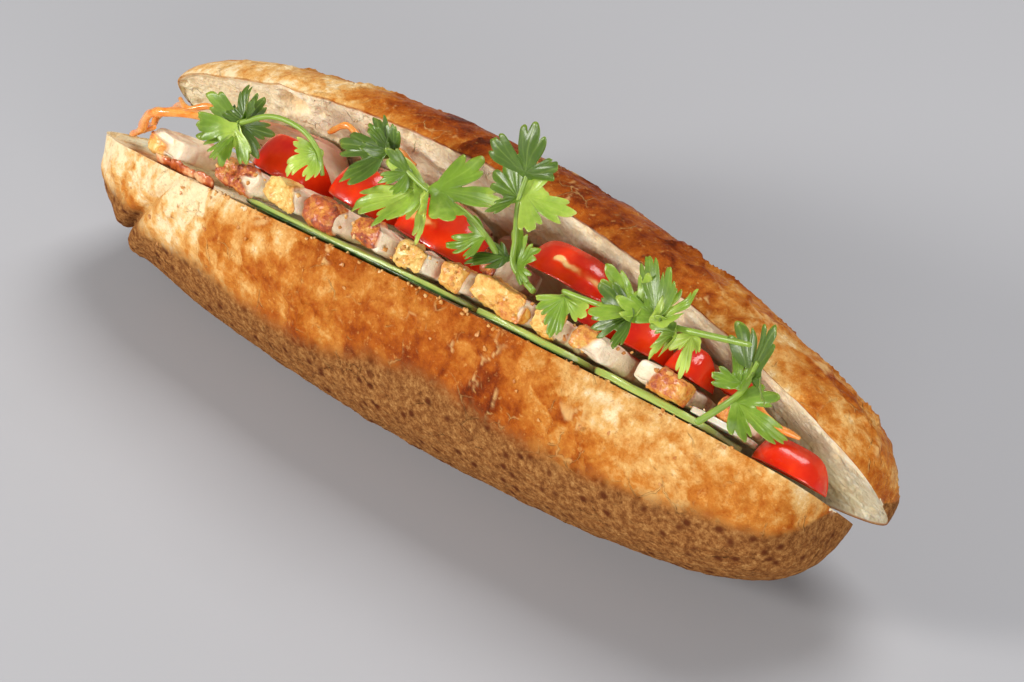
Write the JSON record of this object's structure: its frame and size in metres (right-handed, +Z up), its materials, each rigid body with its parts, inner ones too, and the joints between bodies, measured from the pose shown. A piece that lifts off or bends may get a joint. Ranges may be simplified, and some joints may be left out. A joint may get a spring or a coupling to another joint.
{
  "type": "banh mi sandwich",
  "caption": "Long crusty roll split along its side, lying open and filled with pork, tomato, cucumber, ham, onion and carrot, topped with coriander sprigs.",
  "frame": {"origin": "middle of the box around the sandwich, at the surface it lies on", "axes": "+X along the roll towards its narrower open end, +Y towards the upright back half, +Z up"},
  "size_m": [0.2457, 0.0715, 0.1059],
  "materials": {
    "crust": "baked crust: golden brown, satin on top, matte and mottled below; off-white porous crumb on the cut faces",
    "cucumber": "wet pale green flesh with a thin dark green skin edge",
    "ham": "moist pinkish sliced meat",
    "roast_pork": "pale fat and lean meat under golden, bubbly crackling",
    "tomato": "glossy red skin over moist flesh",
    "onion": "thin, wet and slightly see-through",
    "carrot": "wet orange shred",
    "coriander": "thin fresh leaf with a soft sheen"
  },
  "bodies": {
    "root": {"bread_roll": "crust", "carrot_shred_1": "carrot", "carrot_shred_2": "carrot", "carrot_shred_3": "carrot", "coriander_sprig_1": "coriander", "coriander_sprig_2": "coriander", "coriander_sprig_3": "coriander", "coriander_sprig_4": "coriander", "coriander_sprig_5": "coriander", "cucumber_slice_1": "cucumber", "cucumber_slice_2": "cucumber", "cucumber_slice_3": "cucumber", "ham_slice_1": "ham", "ham_slice_2": "ham", "ham_slice_3": "ham", "ham_slice_4": "ham", "onion_slice_1": "onion", "pork_slice_1": "roast_pork", "pork_slice_10": "roast_pork", "pork_slice_11": "roast_pork", "pork_slice_12": "roast_pork", "pork_slice_13": "roast_pork", "pork_slice_2": "roast_pork", "pork_slice_3": "roast_pork", "pork_slice_4": "roast_pork", "pork_slice_5": "roast_pork", "pork_slice_6": "roast_pork", "pork_slice_7": "roast_pork", "pork_slice_8": "roast_pork", "pork_slice_9": "roast_pork", "tomato_wedge_1": "tomato", "tomato_wedge_2": "tomato", "tomato_wedge_3": "tomato", "tomato_wedge_4": "tomato", "tomato_wedge_5": "tomato", "tomato_wedge_6": "tomato", "tomato_wedge_7": "tomato", "tomato_wedge_8": "tomato", "tomato_wedge_9": "tomato"}
  },
  "joints": []
}
